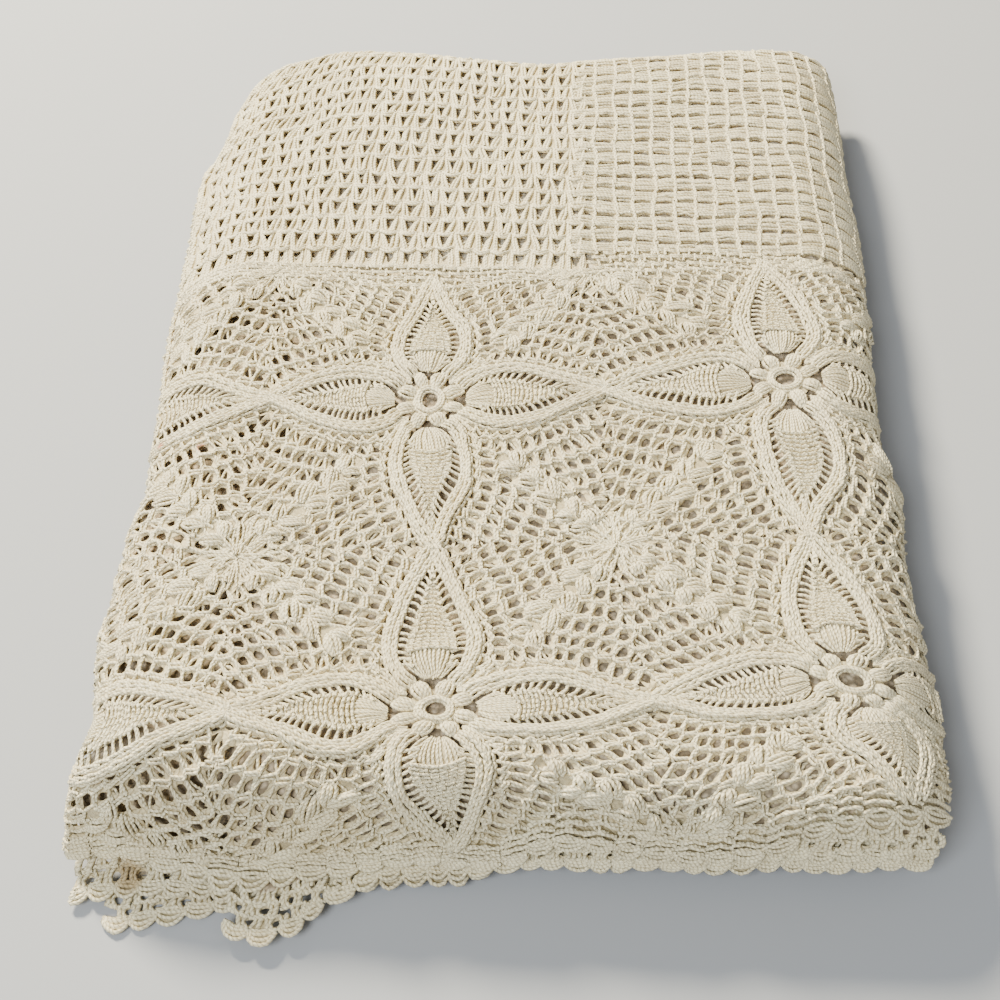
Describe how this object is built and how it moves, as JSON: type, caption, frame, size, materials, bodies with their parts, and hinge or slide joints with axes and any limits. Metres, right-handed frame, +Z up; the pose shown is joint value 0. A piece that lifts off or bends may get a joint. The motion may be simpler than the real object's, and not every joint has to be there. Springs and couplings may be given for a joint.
{
  "type": "crochet bedspread",
  "caption": "Openwork crochet cotton bedspread with leaf-flower squares, mesh panels and a scalloped edge, folded into a flat stack.",
  "frame": {"origin": "middle of the underside of the folded stack, at the surface it lies on", "axes": "+X to the right across the stack, +Y from the scalloped front hem to the fold at the back, +Z up"},
  "size_m": [0.4004, 0.5833, 0.0635],
  "materials": {
    "cream_cotton": "matt plied cotton yarn, crocheted"
  },
  "bodies": {
    "root": {"bedspread": "cream_cotton"}
  },
  "joints": []
}
